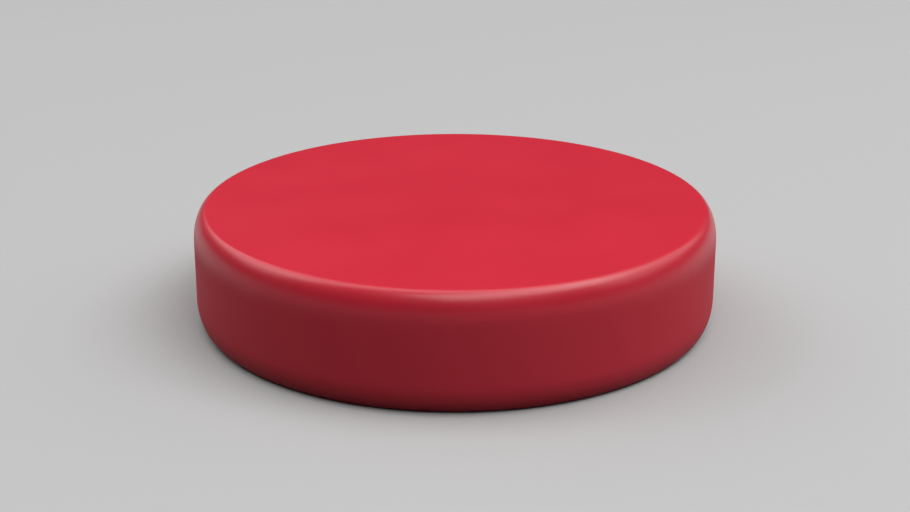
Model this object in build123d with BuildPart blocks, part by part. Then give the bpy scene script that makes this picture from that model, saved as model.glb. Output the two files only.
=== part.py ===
from build123d import *
from math import atan2, degrees, radians, tan
import os

# A plain round checkers piece: flat faces, a straight side, and softly rounded edges that reach
# twice as far along the side as over the faces. It is moulded hollow and weighted. The cup is
# everything that shows from above and from the side. A steel weight drops into it between locating
# ribs, and a base disc snaps into its mouth from below, where its ring holds the weight against
# play. The disc sits a little way up inside the mouth, so the piece stands on the cup's foot ring
# and doesn't rock.
#
# Millimetres, +Z up. The origin is the centre of the underside, in the plane that it stands on.

# Outside of the piece
piece_diameter = 31.75  # the common full-size checker, 1 1/4 inch
piece_height = 7.1
edge_width = 0.86  # how far the rounded edge reaches in over a face
edge_drop = 1.72  # how far the rounded edge reaches along the side
edge_corner_radius = 0.52  # the tight arc beside the face; a flatter arc runs on from it to the side

# Walls of the cup
face_wall = 1.6
side_wall = 2.0
ceiling_chamfer = 0.7  # stiffens the corner where the side meets the face inside
cavity_draft = 1.0  # degrees, so that the cup leaves its core
mouth_chamfer = 0.25

# Ribs that centre the weight and stop the base disc
rib_count = 8
rib_width = 1.2
rib_depth = 1.75  # how far a rib stands in from the mouth's radius
rib_lead_in = 0.5

# Base disc
base_thickness = 1.5
base_recess = 0.15  # how far its underside lies above the foot ring
base_clearance = 0.05  # round the disc, inside the mouth
base_chamfer = 0.2

# Snap joint: a bead round the base disc, and the groove for it in the mouth. The bead's long slope
# enters first, and the steeper one below the crest holds.
snap_depth = 0.2  # depth of the groove
snap_crest = 0.15  # width of the flat along the crest
snap_entry_slope = 35  # degrees to the wall
snap_hold_slope = 45
snap_clearance = 0.03  # between the bead's crest and the groove

# Ring on the base disc that holds the weight up
ring_height = 0.8
ring_wall = 1.2
ring_inset = 2.4  # from the weight's edge to the ring's outer wall
ring_gap_count = 4
ring_gap_width = 2.0

# Weight
weight_side_clearance = 0.125
weight_top_clearance = 0.05
weight_chamfer = 0.3

# Gate mark in the middle of the underside, sunk in a well so that it never touches the board
gate_well_diameter = 4.0
gate_well_depth = 0.35
gate_stub_diameter = 1.1
gate_stub_height = 0.2
gate_stub_taper = 12  # degrees

# Levels and radii that the pieces share
piece_radius = piece_diameter / 2
edge_side_radius = (edge_width**2 + edge_drop**2 - 2 * edge_drop * edge_corner_radius) / (
    2 * (edge_width - edge_corner_radius)
)
edge_turn = degrees(atan2(edge_drop - edge_corner_radius, edge_side_radius - edge_width))
mouth_radius = piece_radius - side_wall
groove_radius = mouth_radius + snap_depth
seat_level = base_recess + base_thickness  # top of the base disc and foot of the ribs
snap_level = base_recess + base_thickness / 2
ceiling_level = piece_height - face_wall
ceiling_radius = mouth_radius - (ceiling_level - seat_level) * tan(radians(cavity_draft))
rib_tip_radius = mouth_radius - rib_depth
weight_radius = rib_tip_radius - weight_side_clearance
weight_foot = seat_level + ring_height
weight_thickness = ceiling_level - weight_top_clearance - weight_foot

os.makedirs("parts", exist_ok=True)


def rounded_edge(face_level, up):
    """The two tangent arcs from the side to a face: up is 1 at the top face, and -1 at the foot."""
    side_centre = (piece_radius - edge_side_radius, face_level - up * edge_drop)
    corner_centre = (piece_radius - edge_width, face_level - up * edge_corner_radius)
    CenterArc(side_centre, edge_side_radius, 0, up * edge_turn)
    CenterArc(corner_centre, edge_corner_radius, up * edge_turn, up * (90 - edge_turn))


def snap_outline(wall_radius, crest_radius):
    """The snap joint's corners, from low to high, between a wall's radius and its crest's."""
    rise = crest_radius - wall_radius
    low_crest = snap_level - snap_crest / 2
    high_crest = snap_level + snap_crest / 2
    return (
        (wall_radius, low_crest - rise / tan(radians(snap_hold_slope))),
        (crest_radius, low_crest),
        (crest_radius, high_crest),
        (wall_radius, high_crest + rise / tan(radians(snap_entry_slope))),
    )


# One locating rib, drawn in the plane of its flat side. Its foot is cut back so the weight drops in.
with BuildPart() as rib:
    with BuildSketch(Plane.XZ):
        with BuildLine():
            Polyline(
                (rib_tip_radius + rib_lead_in, seat_level),
                (mouth_radius + side_wall / 2, seat_level),
                (mouth_radius + side_wall / 2, ceiling_level + face_wall / 2),
                (rib_tip_radius, ceiling_level + face_wall / 2),
                (rib_tip_radius, seat_level + rib_lead_in),
                close=True,
            )
        make_face()
    extrude(amount=rib_width / 2, both=True)


# The cup: the whole outside, hollowed from below, with the groove in its mouth and the ribs inside.
with BuildPart() as body_cup:
    with BuildSketch(Plane.XZ):
        with BuildLine():
            rounded_edge(piece_height, up=1)
            rounded_edge(0, up=-1)
            Line((piece_radius, edge_drop), (piece_radius, piece_height - edge_drop))
            face_radius = piece_radius - edge_width
            Polyline((face_radius, piece_height), (0, piece_height), (0, 0), (face_radius, 0))
        make_face()
    revolve(axis=Axis.Z)

    with BuildSketch(Plane.XZ) as cavity:
        with BuildLine():
            Polyline(
                (0, ceiling_level),
                (0, 0),
                (mouth_radius + mouth_chamfer, 0),
                (mouth_radius, mouth_chamfer),
                *snap_outline(mouth_radius, groove_radius),
                (mouth_radius, seat_level),
                (ceiling_radius, ceiling_level),
                close=True,
            )
        make_face()
        ceiling_vertices = cavity.vertices().group_by(Axis.Y)[-1]
        chamfer(ceiling_vertices.sort_by(Axis.X)[-1], ceiling_chamfer)
    revolve(axis=Axis.Z, mode=Mode.SUBTRACT)

    with PolarLocations(0, rib_count):
        add(rib.part)


# The base disc: a flat disc with the snap bead round it and the hold-down ring on top.
with BuildPart() as base_disc:
    base_radius = mouth_radius - base_clearance
    with BuildSketch(Plane.XZ):
        with BuildLine():
            Polyline(
                (0, seat_level),
                (0, base_recess),
                (base_radius - base_chamfer, base_recess),
                (base_radius, base_recess + base_chamfer),
                *snap_outline(base_radius, groove_radius - snap_clearance),
                (base_radius, seat_level - base_chamfer),
                (base_radius - base_chamfer, seat_level),
                close=True,
            )
        make_face()
    revolve(axis=Axis.Z)

    # The gaps let out the air that the disc would trap as it is pressed in.
    ring_radius = weight_radius - ring_inset
    with BuildSketch(Plane.XY.offset(seat_level)):
        Circle(ring_radius)
        Circle(ring_radius - ring_wall, mode=Mode.SUBTRACT)
        with PolarLocations(ring_radius - ring_wall / 2, ring_gap_count):
            Rectangle(2 * ring_wall, ring_gap_width, mode=Mode.SUBTRACT)
    extrude(amount=ring_height)

    well_floor = base_recess + gate_well_depth
    with BuildSketch(Plane.XY.offset(base_recess)):
        Circle(gate_well_diameter / 2)
    extrude(amount=gate_well_depth, mode=Mode.SUBTRACT)
    with BuildSketch(Plane.XY.offset(well_floor)):
        Circle(gate_stub_diameter / 2)
    extrude(amount=-gate_stub_height, taper=gate_stub_taper)


# The weight: a disc of steel plate with its edges broken.
with BuildPart() as steel_weight:
    with BuildSketch(Plane.XY.offset(weight_foot)):
        Circle(weight_radius)
    extrude(amount=weight_thickness)
    chamfer(steel_weight.edges(), weight_chamfer)


for piece, name in ((body_cup, "body_cup"), (base_disc, "base_disc"), (steel_weight, "steel_weight")):
    piece.part.label = name
    export_step(piece.part, f"parts/{name}.step")

print(f"weight {2 * weight_radius:.2f} x {weight_thickness:.2f} mm")
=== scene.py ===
# %% [markdown]
# # A plain red checkers piece
#
# The real thing is a small, heavy, glossy disc of red plastic. It is moulded as a hollow cup,
# weighted with a disc of steel, and closed from below by a second moulding. The places and sizes
# come from the CAD model. On a thing this plain, what shows is how light runs over its surface, so
# the cup is modelled afresh in clean rings of faces, and the rest of the work goes into its finish.

# %% Load the frame
from math import atan2, cos, pi, radians, sin, tan

import bmesh
import bpy
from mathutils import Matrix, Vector


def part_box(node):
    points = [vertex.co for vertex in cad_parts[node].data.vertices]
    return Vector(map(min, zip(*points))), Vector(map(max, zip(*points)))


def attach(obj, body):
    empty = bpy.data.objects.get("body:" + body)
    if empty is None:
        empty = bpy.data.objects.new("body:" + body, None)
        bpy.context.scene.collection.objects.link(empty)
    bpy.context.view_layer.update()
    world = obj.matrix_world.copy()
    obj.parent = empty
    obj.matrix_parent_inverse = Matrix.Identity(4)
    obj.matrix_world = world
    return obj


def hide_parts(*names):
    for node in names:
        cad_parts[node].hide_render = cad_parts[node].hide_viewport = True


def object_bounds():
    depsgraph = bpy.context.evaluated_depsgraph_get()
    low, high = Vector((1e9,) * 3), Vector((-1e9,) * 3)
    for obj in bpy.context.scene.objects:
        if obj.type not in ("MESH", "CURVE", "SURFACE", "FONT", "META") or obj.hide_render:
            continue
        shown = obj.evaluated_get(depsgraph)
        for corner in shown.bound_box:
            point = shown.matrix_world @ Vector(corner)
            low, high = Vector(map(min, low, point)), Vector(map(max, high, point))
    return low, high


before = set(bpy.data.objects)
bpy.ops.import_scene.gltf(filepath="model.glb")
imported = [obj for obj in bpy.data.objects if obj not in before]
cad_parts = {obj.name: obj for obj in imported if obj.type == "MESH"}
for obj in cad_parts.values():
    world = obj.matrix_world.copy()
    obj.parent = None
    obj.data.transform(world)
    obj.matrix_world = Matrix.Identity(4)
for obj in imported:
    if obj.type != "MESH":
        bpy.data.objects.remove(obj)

MM = 0.001
cad_low, cad_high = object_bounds()

# %% [markdown]
# ## Picking by place
#
# Every modelling operator acts on what is selected. Working by hand, you would click the faces you
# mean. A script picks them by where they lie, and then calls the same operator. Everything else is
# deselected first, because the CAD nodes come in selected.

# %% Helpers that pick faces and edges
CLOSE = 0.001 * MM


def reach(point):
    """How far a point lies from the piece's axis."""
    return Vector(point.xy).length


def lies_at(item, level):
    """True for a face or an edge that has all its corners at this height."""
    return all(abs(corner.co.z - level) < CLOSE for corner in item.verts)


def pick(piece, kind, wanted):
    """In edit mode, select only the faces or edges for which wanted(item) is true, and count them."""
    bpy.ops.mesh.select_all(action="DESELECT")
    bpy.ops.mesh.select_mode(type=kind)
    mesh = bmesh.from_edit_mesh(piece.data)
    picked = [item for item in (mesh.faces if kind == "FACE" else mesh.edges) if wanted(item)]
    for item in picked:
        item.select_set(True)
    mesh.select_flush_mode()
    bmesh.update_edit_mesh(piece.data)
    return len(picked)


# %% [markdown]
# ## The moulded cup
#
# The cup is everything that shows: top face, side and both rounded edges. It could be turned from
# an outline with the Spin tool. Here it starts as a cylinder, because its edge then comes from one
# bevel. A bevel rounds an edge by a quarter circle, and this edge reaches twice as far down the
# side as in over the face. So the cylinder is made at half its height, bevelled, and stretched to
# twice the height, which turns each quarter circle into a quarter ellipse.
#
# The rings of the bevel are what the gloss runs over. Too few would break its highlight into
# bands, and the whole look of the piece is that highlight, so there are 24 of them.

# %% A bevelled disc, stretched to its height
cup_low, cup_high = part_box("body_cup")
piece_radius = (cup_high.x - cup_low.x) / 2
piece_height = cup_high.z - cup_low.z
edge_width = 0.86 * MM
EDGE_STRETCH = 2
RIM_STEPS = 288
EDGE_RINGS = 24
unstretched_height = piece_height / EDGE_STRETCH

bpy.ops.object.select_all(action="DESELECT")
bpy.ops.mesh.primitive_cylinder_add(
    vertices=RIM_STEPS,
    radius=piece_radius,
    depth=unstretched_height,
    location=(0, 0, unstretched_height / 2),
)
cup = bpy.context.object
cup.name = cup.data.name = "moulded_cup"
bpy.ops.object.transform_apply(location=True, rotation=True, scale=True)

bpy.ops.object.mode_set(mode="EDIT")
for level in (0, unstretched_height):
    count = pick(cup, "EDGE", lambda edge: lies_at(edge, level))
    bpy.ops.mesh.bevel(offset=edge_width, segments=EDGE_RINGS, profile=0.5, affect="EDGES")
    print("bevelled", count, "edges at", round(level / MM, 2), "mm")
bpy.ops.mesh.select_all(action="SELECT")
bpy.ops.transform.resize(value=(1, 1, EDGE_STRETCH), center_override=(0, 0, 0))
bpy.ops.object.mode_set(mode="OBJECT")
print("the disc measures", [round(side / MM, 3) for side in cup.dimensions], "mm")

# %% [markdown]
# ## The foot ring and the hollow
#
# Turned over, the cup is open. Its bottom face is inset, which leaves the foot ring that the piece
# stands on. Then the face is carried up into the cup ring by ring, as a boring tool would go: the
# chamfer of the mouth, the groove of the snap joint, the level where the base disc seats, and the
# wall up to the ceiling, a degree off upright so that the moulding leaves its core.

# %% Sizes of the hollow
disc_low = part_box("base_disc")[0]
weight_low, weight_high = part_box("steel_weight")
side_wall = 2.0 * MM
mouth_chamfer = 0.25 * MM
base_thickness = 1.5 * MM
groove_depth = 0.2 * MM
groove_floor = 0.15 * MM
entry_slope = radians(35)
hold_slope = radians(45)
ceiling_chamfer = 0.7 * MM
cavity_draft = radians(1)
weight_play = 0.05 * MM

mouth_radius = piece_radius - side_wall
groove_radius = mouth_radius + groove_depth
groove_level = disc_low.z + base_thickness / 2
seat_level = disc_low.z + base_thickness
ceiling_level = weight_high.z + weight_play
wall_top = ceiling_level - ceiling_chamfer
wall_top_radius = mouth_radius - (wall_top - seat_level) * tan(cavity_draft)

hollow_rings = [
    (mouth_radius, mouth_chamfer),
    (mouth_radius, groove_level - groove_floor / 2 - groove_depth / tan(hold_slope)),
    (groove_radius, groove_level - groove_floor / 2),
    (groove_radius, groove_level + groove_floor / 2),
    (mouth_radius, groove_level + groove_floor / 2 + groove_depth / tan(entry_slope)),
    (mouth_radius, seat_level),
    (wall_top_radius, wall_top),
    (wall_top_radius - ceiling_chamfer, ceiling_level),
]
print("the mouth is", round(2 * mouth_radius / MM, 2), "mm across")


# %% Carry the bottom face up through the rings
def carry_to(radius, level):
    """Extrude the selected face to a ring of this radius and level, round the piece's axis."""
    bpy.ops.mesh.extrude_region_move()
    mesh = bmesh.from_edit_mesh(cup.data)
    corner = next(vertex.co.copy() for vertex in mesh.verts if vertex.select)
    grow = radius / reach(corner)
    bpy.ops.transform.resize(value=(grow, grow, 1), center_override=(0, 0, 0))
    bpy.ops.transform.translate(value=(0, 0, level - corner.z))


bpy.ops.object.mode_set(mode="EDIT")
pick(cup, "FACE", lambda face: lies_at(face, 0))
bpy.ops.mesh.inset(thickness=piece_radius - edge_width - mouth_radius - mouth_chamfer)
for radius, level in hollow_rings:
    carry_to(radius, level)
bpy.ops.object.mode_set(mode="OBJECT")
print("the hollow has", len(hollow_rings), "rings and is", round(ceiling_level / MM, 2), "mm deep")

# %% [markdown]
# ## The locating ribs
#
# Eight ribs hold the weight in the middle. Each is a patch of the wall, four steps of the rim wide,
# pulled toward the axis. All eight are extruded at once, and one resize about the axis then moves
# them inward together. The corner at each rib's foot is cut back, so that the weight drops in.

# %% Pull eight patches of the wall inward
RIB_COUNT = 8
RIB_STEPS = 4
weight_side_play = 0.125 * MM
rib_lead_in = 0.5 * MM
rib_tip_radius = (weight_high.x - weight_low.x) / 2 + weight_side_play
rib_spacing = 2 * pi / RIB_COUNT
rib_half_angle = RIB_STEPS * pi / RIM_STEPS


def is_rib_patch(face):
    """True for a face of the drafted wall that lies within half a rib's width of a rib's middle."""
    middle = face.calc_center_median()
    on_wall = seat_level < middle.z < wall_top and reach(middle) < mouth_radius
    off_rib = (atan2(middle.y, middle.x) + rib_spacing / 2) % rib_spacing - rib_spacing / 2
    return on_wall and abs(off_rib) < rib_half_angle


def is_rib_foot(edge):
    """True for the lowest edges of a rib's tip."""
    on_tip = all(reach(corner.co) < rib_tip_radius + CLOSE for corner in edge.verts)
    return on_tip and lies_at(edge, seat_level)


bpy.ops.object.mode_set(mode="EDIT")
patches = pick(cup, "FACE", is_rib_patch)
bpy.ops.mesh.extrude_region_move()
shrink = rib_tip_radius / mouth_radius
bpy.ops.transform.resize(value=(shrink, shrink, 1), center_override=(0, 0, 0))
feet = pick(cup, "EDGE", is_rib_foot)
bpy.ops.mesh.bevel(offset=rib_lead_in, segments=1, affect="EDGES")
bpy.ops.object.mode_set(mode="OBJECT")
print("pulled in", patches, "faces and cut back", feet, "edges, for", RIB_COUNT, "ribs")

# %% [markdown]
# ## Shading the cup
#
# The face of the disc is flat right up to the edge, where it starts to curve. Smooth shading
# spreads the first bend of the curve over the whole flat face. A thin inset ring, a holding loop,
# keeps that to the last few hundredths of a millimetre. Corners sharper than 25 degrees stay crisp.

# %% Holding loops, smooth shading and a check of the shell
holding_loop = 0.03 * MM
sharp_corner = radians(25)


def is_outer_flat(face):
    """True for the top face and the foot ring, which run into the rounded edges."""
    return lies_at(face, 0) or lies_at(face, piece_height)


bpy.ops.object.mode_set(mode="EDIT")
pick(cup, "FACE", is_outer_flat)
bpy.ops.mesh.inset(thickness=holding_loop)
bpy.ops.object.mode_set(mode="OBJECT")
bpy.ops.object.shade_smooth_by_angle(angle=sharp_corner)

shell = bmesh.new()
shell.from_mesh(cup.data)
open_edges = sum(not edge.is_manifold for edge in shell.edges)
cup_volume = shell.calc_volume(signed=True)
shell.free()
print("open edges", open_edges, "and a volume of", round(cup_volume / MM**3), "cubic mm, faces out")

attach(cup, "root")
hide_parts("body_cup")

# %% [markdown]
# ## The camera
#
# The photograph looks down at the piece by about 20 degrees, from less than four of its diameters
# away. The outline of the top face gives both: how flat its ellipse is sets the angle, and how much
# wider its near half is than its far half sets the distance. The lens, in millimetres for a sensor
# of this width, then makes the piece as large in the picture as it is there.

# %% Camera
camera_elevation = 19.8
camera_distance = 108 * MM
camera_lens = 69.2
sensor_width = 36
nearest_seen = 5 * MM
farthest_seen = 10
piece_centre = (cad_low + cad_high) / 2

camera_data = bpy.data.cameras.new("camera")
camera_data.sensor_width = sensor_width
camera_data.lens = camera_lens
camera_data.clip_start = nearest_seen
camera_data.clip_end = farthest_seen
camera = bpy.data.objects.new("camera", camera_data)
bpy.context.scene.collection.objects.link(camera)
bpy.context.scene.camera = camera


def direction(azimuth, elevation):
    """A unit vector from the piece: azimuth 0 is the camera's side and 90 its right, in degrees."""
    turn, rise = radians(azimuth), radians(elevation)
    return Vector((sin(turn) * cos(rise), -cos(turn) * cos(rise), sin(rise)))


toward_camera = direction(0, camera_elevation)
camera.location = piece_centre + camera_distance * toward_camera
camera.rotation_euler = toward_camera.to_track_quat("Z", "Y").to_euler()
print("the camera stands", round(camera.location.z / MM), "mm above the floor")

# %% [markdown]
# ## Wiring a material
#
# A material is a tree of nodes. The first helper adds one node, sets its options and fills its
# inputs: a plain value is set on the socket, and another node's output is linked to it. The others
# are built on it. Every pattern reads Object coordinates, so it stays on the piece when the piece
# moves, and its sizes are real ones.

# %% Helpers that add nodes
NOISE_LOW, NOISE_HIGH = 0.35, 0.65


def node(tree, kind, inputs=None, **options):
    """Add a node of this kind, set its options and fill its inputs."""
    made = tree.nodes.new("ShaderNode" + kind)
    for option, value in options.items():
        setattr(made, option, value)
    for socket, value in (inputs or {}).items():
        if isinstance(value, bpy.types.NodeSocket):
            tree.links.new(value, made.inputs[socket])
        else:
            made.inputs[socket].default_value = value
    return made


def new_material(name, constants):
    """Make a material with these values set on its shader, and return it, its tree and its shader."""
    material = bpy.data.materials.new(name)
    material.use_nodes = True
    tree = material.node_tree
    shader = tree.nodes["Principled BSDF"]
    for socket, value in constants.items():
        shader.inputs[socket].default_value = value
    return material, tree, shader


def object_place(tree):
    """Where each point of the piece lies, in metres from the origin."""
    return node(tree, "TexCoord").outputs["Object"]


def noise(tree, place, size=1.0, detail=0.0):
    """Cloudy noise with features of this size, which wanders round 0.5."""
    inputs = {"Vector": place, "Scale": 1 / size, "Detail": detail}
    return node(tree, "TexNoise", inputs).outputs["Fac"]


def drawn_out(tree, place, sizes, turn=0.0):
    """Coordinates in which one unit is this long along X, Y and Z, turned by an angle in degrees."""
    inputs = {"Vector": place, "Rotation": (0, 0, radians(turn)), "Scale": sizes}
    return node(tree, "Mapping", inputs, vector_type="TEXTURE").outputs["Vector"]


def calculate(tree, operation, *values):
    """One sum on each point of the surface."""
    return node(tree, "Math", dict(enumerate(values)), operation=operation).outputs["Value"]


def spread(tree, value, low, high, to_low=0.0, to_high=1.0, shape="LINEAR"):
    """Map low..high to to_low..to_high, and hold the ends."""
    ends = {"Value": value, "From Min": low, "From Max": high, "To Min": to_low, "To Max": to_high}
    return node(tree, "MapRange", ends, interpolation_type=shape).outputs["Result"]


def drift(tree, pattern, to_low=0.0, to_high=1.0):
    """Let a value wander between two others, as a noise wanders between its usual low and high."""
    return spread(tree, pattern, NOISE_LOW, NOISE_HIGH, to_low, to_high)


def blend(tree, factor, first, second):
    """A colour between two."""
    inputs = {"Factor": factor, "A": first, "B": second}
    return node(tree, "Mix", inputs, data_type="RGBA").outputs["Result"]


def relief(tree, height, depth, normal=None):
    """Bend the surface's normal as if this pattern stood depth high."""
    inputs = {"Height": height, "Distance": depth}
    if normal:
        inputs["Normal"] = normal
    return node(tree, "Bump", inputs).outputs["Normal"]


# %% [markdown]
# ## Where on the cup
#
# The top face, its rounded edge, the side and the foot have led different lives, so the finish
# changes from one to the next. On a piece that lies flat, height alone tells them apart.


# %% Heights on the cup
def heights(tree, place):
    """How far each point lies above the foot ring, and how far below the top face."""
    above_foot = node(tree, "SeparateXYZ", {"Vector": place}).outputs["Z"]
    return above_foot, calculate(tree, "SUBTRACT", piece_height, above_foot)


# %% [markdown]
# ## Hairline scratches
#
# A piece that is pushed about a board and stacked gets fine scratches on its two flat faces, and
# none in between. A scratch is noise drawn out along one direction until its blobs are threads, of
# which only the highest are kept. Bending the coordinates first makes the threads wander a little.

# %% Scratches, on the flat faces only
scratch_length = 9 * MM
scratch_width = 0.045 * MM
scratch_wander = 1.5 * MM
scratch_fade = 0.08 * MM
scratch_turns = (12, 71, 128)
scratch_start, scratch_full = 0.76, 0.82


def hairlines(tree, place, turn):
    """Fine wandering lines that run at this angle to +X, in degrees."""
    cloud = node(tree, "TexNoise", {"Vector": place, "Scale": 1 / scratch_length, "Detail": 0})
    sway = {0: cloud.outputs["Color"], 1: (scratch_wander, scratch_wander, 0), 2: place}
    bent = node(tree, "VectorMath", sway, operation="MULTIPLY_ADD").outputs["Vector"]
    threads = drawn_out(tree, bent, (scratch_length, scratch_width, scratch_length), turn)
    return spread(tree, noise(tree, threads), scratch_start, scratch_full)


def flat_face_scratches(tree, place, above_foot, below_top):
    """Hairlines in three directions, which fade out just past the top face and the foot ring."""
    first, second, third = (hairlines(tree, place, turn) for turn in scratch_turns)
    any_line = calculate(tree, "MAXIMUM", calculate(tree, "MAXIMUM", first, second), third)
    from_flat = calculate(tree, "MINIMUM", above_foot, below_top)
    return calculate(tree, "MULTIPLY", any_line, spread(tree, from_flat, 0, scratch_fade, 1, 0))


# %% [markdown]
# ## The satin side
#
# The end of the mould that forms the top face is polished, and the edge round it with it. The side
# is not: it is dragged along the steel as the cup is pushed out. That leaves it satin, and lined
# from top to bottom with marks about as fine as a hair. They are noise again, drawn out along Z.
# Further down, the lower edge and the foot rub on the board, so they never shine again either.

# %% The satin side and its draw marks
polish_ends = 0.7 * MM
satin_starts = 2.4 * MM
draw_mark_width = 0.10 * MM
draw_mark_length = 6 * MM


def draw_marks(tree, place):
    """Fine lines that run up and down the side."""
    sizes = (draw_mark_width, draw_mark_width, draw_mark_length)
    return noise(tree, drawn_out(tree, place, sizes), detail=1)


# %% [markdown]
# ## Red plastic
#
# The plastic is one red all through, so nothing is painted on, and wear never shows another colour.
# Close up a moulding is still never even. The pigment is faintly cloudy. The gloss drifts, where
# the melt met the mould sooner or later and where fingers have been. The skin has the slight
# waviness called orange peel. And the foot ring, which the piece slides on, is rubbed duller.

# %% The red of both mouldings
plastic_ior = 1.59
deep_red = (0.66, 0.0225, 0.046, 1)
bright_red = (0.68, 0.0235, 0.048, 1)
cloud_size = 5 * MM


def pigment(tree, place):
    """The one red of both mouldings, faintly cloudy."""
    cloud = noise(tree, place, cloud_size, detail=3)
    return blend(tree, drift(tree, cloud), deep_red, bright_red)


# %% Red plastic for the cup
smudge_size = 6 * MM
gloss_roughness = 0.29
smudged_roughness = 0.34
scratch_dulling = 0.10
scratch_depth = 0.0006 * MM
side_dulling = 0.33
draw_mark_dulling = 0.08
draw_mark_depth = 0.004 * MM
foot_dulling = 0.08
foot_wear_height = 0.25 * MM
peel_size = 0.9 * MM
peel_depth = 0.0012 * MM


def red_plastic():
    """Polished on the top face and its edge, and satin from there down."""
    material, tree, shader = new_material("moulded red plastic", {"IOR": plastic_ior})
    place = object_place(tree)
    above_foot, below_top = heights(tree, place)
    scratches = flat_face_scratches(tree, place, above_foot, below_top)
    satin = spread(tree, below_top, polish_ends, satin_starts, shape="SMOOTHSTEP")
    marks = calculate(tree, "MULTIPLY", draw_marks(tree, place), satin)

    smudges = noise(tree, place, smudge_size, detail=2)
    roughness = drift(tree, smudges, gloss_roughness, smudged_roughness)
    roughness = calculate(tree, "MULTIPLY_ADD", scratches, scratch_dulling, roughness)
    roughness = calculate(tree, "MULTIPLY_ADD", satin, side_dulling, roughness)
    roughness = calculate(tree, "MULTIPLY_ADD", marks, draw_mark_dulling, roughness)
    worn_foot = spread(tree, above_foot, 0, foot_wear_height, foot_dulling, 0)
    roughness = calculate(tree, "ADD", roughness, worn_foot)

    normal = relief(tree, noise(tree, place, peel_size, detail=1), peel_depth)
    normal = relief(tree, calculate(tree, "SUBTRACT", 1, scratches), scratch_depth, normal)
    normal = relief(tree, marks, draw_mark_depth, normal)

    tree.links.new(pigment(tree, place), shader.inputs["Base Color"])
    tree.links.new(roughness, shader.inputs["Roughness"])
    tree.links.new(normal, shader.inputs["Normal"])
    return material


cup.data.materials.append(red_plastic())
print("red plastic has", len(cup.data.materials[0].node_tree.nodes), "nodes")

# %% [markdown]
# ## Satin underside
#
# The base disc is the same plastic from a mould with a finely blasted face, which hides flow marks
# and scratches where nobody polishes. So it has the same red, a rougher gloss and a fine grain. The
# insert of the mould was turned on a lathe first, and traces of its rings still show in the gloss.
# At a scale of 1 the Wave texture repeats every pi / 10, and that sets the scale here.

# %% Satin red plastic
satin_roughness = 0.46
turned_roughness = 0.52
ring_pitch = 0.35 * MM
ring_waviness = 0.3
waviness_scale = 2
grain_size = 0.12 * MM
grain_depth = 0.004 * MM


def turned_rings(tree, place):
    """Rings round the axis, a little wavy."""
    inputs = {
        "Vector": place,
        "Scale": pi / (10 * ring_pitch),
        "Distortion": ring_waviness,
        "Detail": 1,
        "Detail Scale": waviness_scale,
    }
    return node(tree, "TexWave", inputs, wave_type="RINGS", rings_direction="Z").outputs["Fac"]


def satin_red_plastic():
    """The same red, with the grain of blasting and traces of turned rings."""
    material, tree, shader = new_material("satin red plastic", {"IOR": plastic_ior})
    place = object_place(tree)
    rings = turned_rings(tree, place)
    roughness = spread(tree, rings, 0, 1, satin_roughness, turned_roughness)
    grain = noise(tree, place, grain_size, detail=2)

    tree.links.new(pigment(tree, place), shader.inputs["Base Color"])
    tree.links.new(roughness, shader.inputs["Roughness"])
    tree.links.new(relief(tree, grain, grain_depth), shader.inputs["Normal"])
    return material


# %% [markdown]
# ## Plain steel
#
# The weight is blanked from rolled strip and never coated, because nobody sees it once the base is
# snapped in. Rolling leaves a faint grain in one direction. The grain is noise drawn out along the
# strip, and it wanders in brightness, roughness and height together. Where a film of oil is left,
# the steel is a little glossier.

# %% Rolled steel
rolled_length = 14 * MM
rolled_width = 0.12 * MM
rolled_depth = 0.002 * MM
dark_steel = (0.46, 0.46, 0.47, 1)
pale_steel = (0.56, 0.56, 0.565, 1)
steel_roughness = 0.34
rolled_roughness = 0.44
oil_size = 8 * MM
oil_gloss = 0.08


def plain_steel():
    """Bare steel, with the grain of its rolling along X."""
    material, tree, shader = new_material("rolled steel", {"Metallic": 1})
    place = object_place(tree)
    strip = drawn_out(tree, place, (rolled_length, rolled_width, rolled_width))
    lines = noise(tree, strip, detail=3)
    colour = blend(tree, drift(tree, lines), dark_steel, pale_steel)
    oil = drift(tree, noise(tree, place, oil_size, detail=2))
    roughness = drift(tree, lines, steel_roughness, rolled_roughness)
    roughness = calculate(tree, "MULTIPLY_ADD", oil, -oil_gloss, roughness)

    tree.links.new(colour, shader.inputs["Base Color"])
    tree.links.new(roughness, shader.inputs["Roughness"])
    tree.links.new(relief(tree, lines, rolled_depth), shader.inputs["Normal"])
    return material


# %% [markdown]
# ## Finishing the CAD pieces
#
# The base disc and the weight are the CAD solids themselves. Their shapes are right as they are, so
# all they need is a finish, in place of the plain one that they came in with. The CAD cup is hidden,
# because the modelled cup stands for it. It gets the same finish all the same, so that no piece of
# the model is left plain.

# %% Give each CAD piece its finish
finishes = {
    "body_cup": cup.data.materials[0],
    "base_disc": satin_red_plastic(),
    "steel_weight": plain_steel(),
}
for name, material in finishes.items():
    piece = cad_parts[name]
    piece.data.materials.clear()
    piece.data.materials.append(material)
    print(name, "is finished in", material.name)

# %% [markdown]
# ## The floor
#
# The floor is plain and pale. A pale floor throws light back up onto the side of the piece, which
# would wash out its dark front. Light Path tells what kind of ray has come: to the camera and to
# reflections the floor is pale, and to the rays that carry its light onto the piece it is dark.

# %% Floor
floor_seen = (0.50, 0.50, 0.50, 1)
floor_bounce = (0.03, 0.03, 0.03, 1)
floor_roughness = 0.9
floor_size = 3

bpy.ops.object.select_all(action="DESELECT")
bpy.ops.mesh.primitive_plane_add(size=floor_size, location=(0, 0, cad_low.z))
floor = bpy.context.object
floor.name = "floor"


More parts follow.
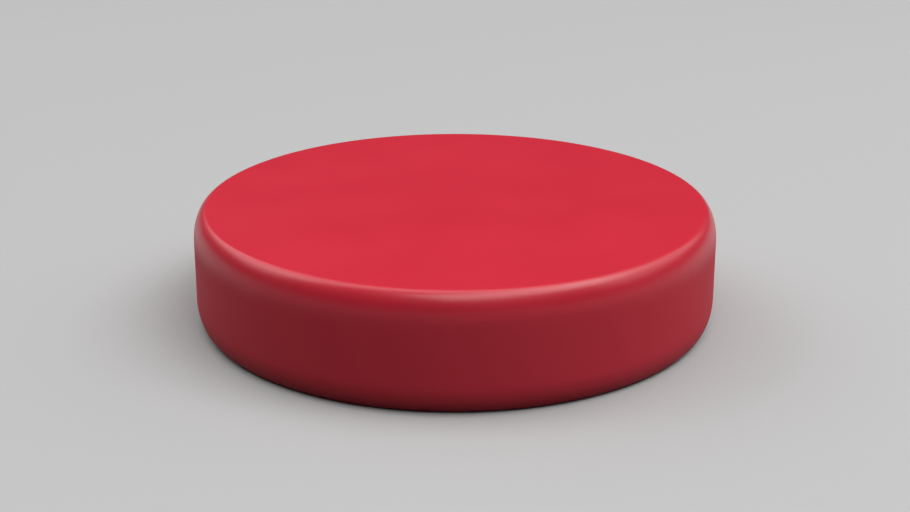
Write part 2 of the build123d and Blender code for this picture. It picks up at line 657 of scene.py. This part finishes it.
def pale_floor():
    """Pale to the camera and to glossy and transmitted rays, dark to all others, and never shiny."""
    dull = {"Roughness": floor_roughness, "Specular IOR Level": 0}
    material, tree, shader = new_material("pale floor", dull)
    rays = node(tree, "LightPath").outputs
    seen = calculate(tree, "MAXIMUM", rays["Is Camera Ray"], rays["Is Glossy Ray"])
    seen = calculate(tree, "MAXIMUM", seen, rays["Is Transmission Ray"])
    tree.links.new(blend(tree, seen, floor_bounce, floor_seen), shader.inputs["Base Color"])
    return material


floor.data.materials.append(pale_floor())
print("the floor is", floor_size, "m wide, at", round(cad_low.z / MM, 3), "mm")

# %% [markdown]
# ## The light
#
# The photograph shows a top face with hardly any gloss, a soft pale band all round the front of the
# top edge, and a side that is lit from the right and darkest at the front left. The long box
# overhead lights the top face, and it reaches far out to both sides, because much of the band
# mirrors what is up there. The middle of the band mirrors the front box. That one stands high, so
# that it meets the side at a slant, and to the right, so that the front left stays the darkest. A
# slim box on either side picks out the ends of the side. None of the four is low, because a flat
# glossy face mirrors what stands low behind it, and would turn pale from some side.

# %% Soft boxes and a dim world
world_strength = 0.04

bpy.context.scene.view_settings.view_transform = "Standard"
world = bpy.data.worlds.new("studio")
bpy.context.scene.world = world
world.use_nodes = True
world.node_tree.nodes["Background"].inputs["Color"].default_value = (1, 1, 1, 1)
world.node_tree.nodes["Background"].inputs["Strength"].default_value = world_strength


def softbox(name, azimuth, elevation, distance, width, depth, radiance):
    """A rectangular light that faces the piece. Angles are in degrees, and lengths in metres.

    Its power follows its area, so two boxes of one radiance look equally bright.
    """
    light = bpy.data.lights.new(name, "AREA")
    light.shape = "RECTANGLE"
    light.size, light.size_y = width, depth
    light.energy = radiance * pi * width * depth
    lamp = bpy.data.objects.new(name, light)
    bpy.context.scene.collection.objects.link(lamp)
    away = direction(azimuth, elevation)
    lamp.location = piece_centre + distance * away
    lamp.rotation_euler = away.to_track_quat("Z", "Y").to_euler()
    print(name, "gives", round(light.energy, 2), "W")


softbox("overhead", azimuth=180, elevation=82, distance=0.5, width=1.20, depth=0.31, radiance=1.65)
softbox("front", azimuth=39, elevation=59, distance=0.5, width=0.66, depth=0.29, radiance=3.0)
softbox("right_side", azimuth=106, elevation=32, distance=0.6, width=0.75, depth=0.30, radiance=1.0)
softbox("left_side", azimuth=238, elevation=38, distance=0.6, width=0.70, depth=0.30, radiance=1.5)
